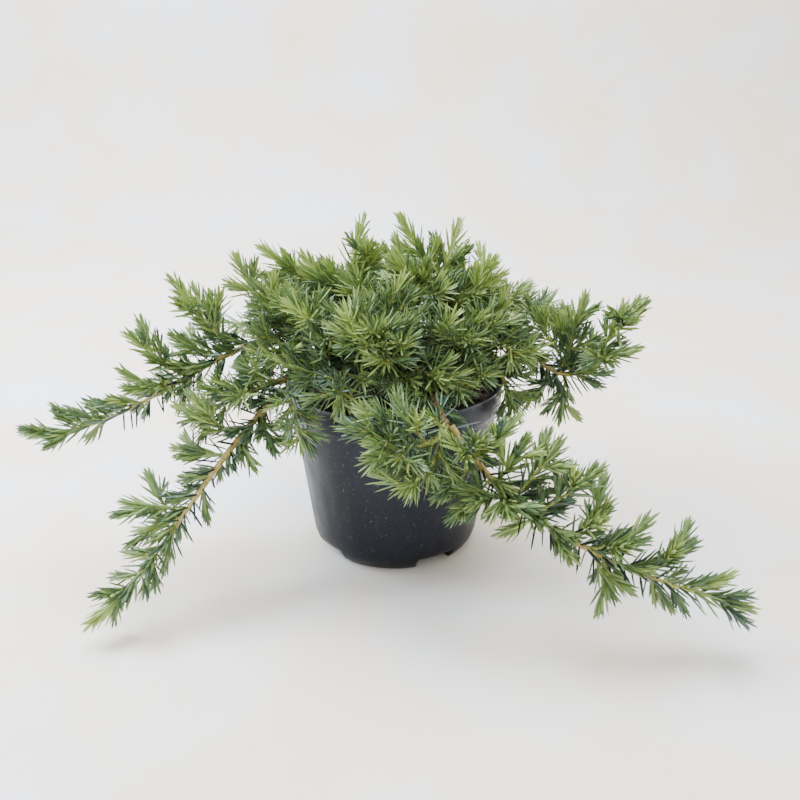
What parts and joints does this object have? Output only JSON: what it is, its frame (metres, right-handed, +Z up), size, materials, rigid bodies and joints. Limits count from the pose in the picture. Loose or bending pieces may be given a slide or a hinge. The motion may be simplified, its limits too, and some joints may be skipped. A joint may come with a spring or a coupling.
{
  "type": "potted shore juniper",
  "caption": "Low spreading needle-leaved shrub with arching and drooping leafy shoots, growing from a short stem in a tapered black nursery pot.",
  "frame": {"origin": "centre of the pot's flat underside", "axes": "+Z up along the pot's axis, +X to the right and +Y away from the viewer as pictured, so the front faces -Y"},
  "size_m": [0.363, 0.2599, 0.1862],
  "materials": {
    "pot_plastic": "thermoformed black plastic, satin, with dust",
    "potting_mix": "moist bark and peat crumbs",
    "bark": "thin flaking brown bark",
    "foliage": "green needles with a pale band, on green twigs"
  },
  "bodies": {
    "root": {"pot": "pot_plastic", "potting_mix": "potting_mix", "main_stem": "bark", "bough_left": "bark", "bough_upper_left": "bark", "bough_low_left": "bark", "bough_front": "bark", "bough_front_right": "bark", "bough_inner_left": "bark", "bough_inner_right": "bark", "bough_crown": "bark", "bough_right": "bark", "bough_upper_right": "bark", "bough_back_right": "bark", "bough_back": "bark", "bough_back_left": "bark", "needles_long_left": "foliage", "needles_left_low": "foliage", "needles_left_front": "foliage", "needles_crest_left": "foliage", "needles_top_left": "foliage", "needles_drooping_left": "foliage", "needles_left_rim": "foliage", "needles_left_apron": "foliage", "needles_front_left": "foliage", "needles_front_upright": "foliage", "needles_front_right": "foliage", "needles_front_star": "foliage", "needles_long_right": "foliage", "needles_front_spray": "foliage", "needles_front_low": "foliage", "needles_inner_left_low": "foliage", "needles_inner_left_high": "foliage", "needles_inner_left_rim": "foliage", "needles_inner_right_low": "foliage", "needles_inner_right_high": "foliage", "needles_inner_right_rim": "foliage", "needles_crown_left": "foliage", "needles_crown_front": "foliage", "needles_crown_back": "foliage", "needles_right_arch": "foliage", "needles_right_front": "foliage", "needles_right_low": "foliage", "needles_top_centre": "foliage", "needles_top_right": "foliage", "needles_crest_right": "foliage", "needles_crest_centre": "foliage", "needles_back_right_arch": "foliage", "needles_back_right_crest": "foliage", "needles_back_right_inner": "foliage", "needles_back_right_low": "foliage", "needles_back_crest": "foliage", "needles_back_low": "foliage", "needles_back_arch": "foliage", "needles_back_left_arch": "foliage", "needles_back_left_low": "foliage", "needles_back_left_crest": "foliage", "needles_back_left_inner": "foliage"}
  },
  "joints": []
}
